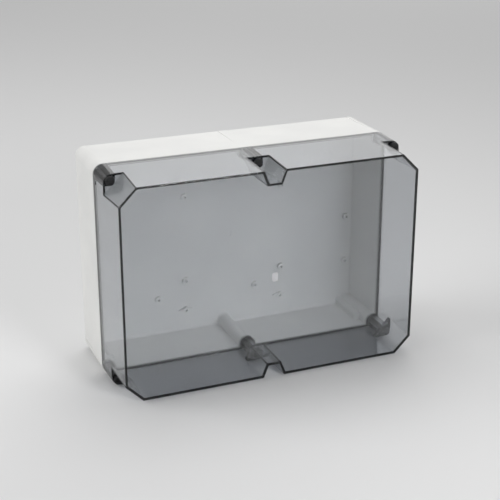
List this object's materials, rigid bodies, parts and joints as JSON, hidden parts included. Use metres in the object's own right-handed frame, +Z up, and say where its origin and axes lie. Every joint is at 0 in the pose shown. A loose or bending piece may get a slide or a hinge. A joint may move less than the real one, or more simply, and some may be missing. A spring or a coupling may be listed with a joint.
{
  "type": "polycarbonate enclosure",
  "caption": "Wall enclosure with a light grey moulded base and a deep smoke-clear lid held by captive quarter-turn screws in chamfered corner pockets and side notches.",
  "frame": {"origin": "middle of the footprint, on the surface that the long lower side stands on", "axes": "+X to the right seen from the front, +Y to the back (the wall side), +Z up"},
  "size_m": [0.36, 0.165, 0.254],
  "materials": {
    "grey_polycarbonate": "fine satin moulded surface, light grey",
    "smoke_polycarbonate": "polished clear polycarbonate with a grey smoke tint",
    "seal_foam": "matt foamed polyurethane seal",
    "black_polyamide": "black glass-filled polyamide"
  },
  "bodies": {
    "base": {"base_shell": "grey_polycarbonate"},
    "lid": {"lid_shell": "smoke_polycarbonate", "lid_gasket": "seal_foam"},
    "screw_bottom_left": {"lid_screw_bottom_left": "black_polyamide"},
    "screw_bottom_mid": {"lid_screw_bottom_mid": "black_polyamide"},
    "screw_bottom_right": {"lid_screw_bottom_right": "black_polyamide"},
    "screw_top_left": {"lid_screw_top_left": "black_polyamide"},
    "screw_top_mid": {"lid_screw_top_mid": "black_polyamide"},
    "screw_top_right": {"lid_screw_top_right": "black_polyamide"}
  },
  "joints": [
    {"name": "lid_lift", "type": "slide", "parent": "base", "child": "lid", "axis": [0, -1, 0], "range_m": [0, 0.16]},
    {"name": "screw_turn_bottom_left", "type": "hinge", "parent": "lid", "child": "screw_bottom_left", "pos_m": [-0.1715, -0.0315, 0.0085], "axis": [0, 1, 0], "range_deg": [0, 90]},
    {"name": "screw_turn_bottom_mid", "type": "hinge", "parent": "lid", "child": "screw_bottom_mid", "pos_m": [0, -0.0315, 0.0085], "axis": [0, 1, 0], "range_deg": [0, 90]},
    {"name": "screw_turn_bottom_right", "type": "hinge", "parent": "lid", "child": "screw_bottom_right", "pos_m": [0.1715, -0.0315, 0.0085], "axis": [0, 1, 0], "range_deg": [0, 90]},
    {"name": "screw_turn_top_left", "type": "hinge", "parent": "lid", "child": "screw_top_left", "pos_m": [-0.1715, -0.0315, 0.2455], "axis": [0, 1, 0], "range_deg": [0, 90]},
    {"name": "screw_turn_top_mid", "type": "hinge", "parent": "lid", "child": "screw_top_mid", "pos_m": [0, -0.0315, 0.2455], "axis": [0, 1, 0], "range_deg": [0, 90]},
    {"name": "screw_turn_top_right", "type": "hinge", "parent": "lid", "child": "screw_top_right", "pos_m": [0.1715, -0.0315, 0.2455], "axis": [0, 1, 0], "range_deg": [0, 90]}
  ]
}
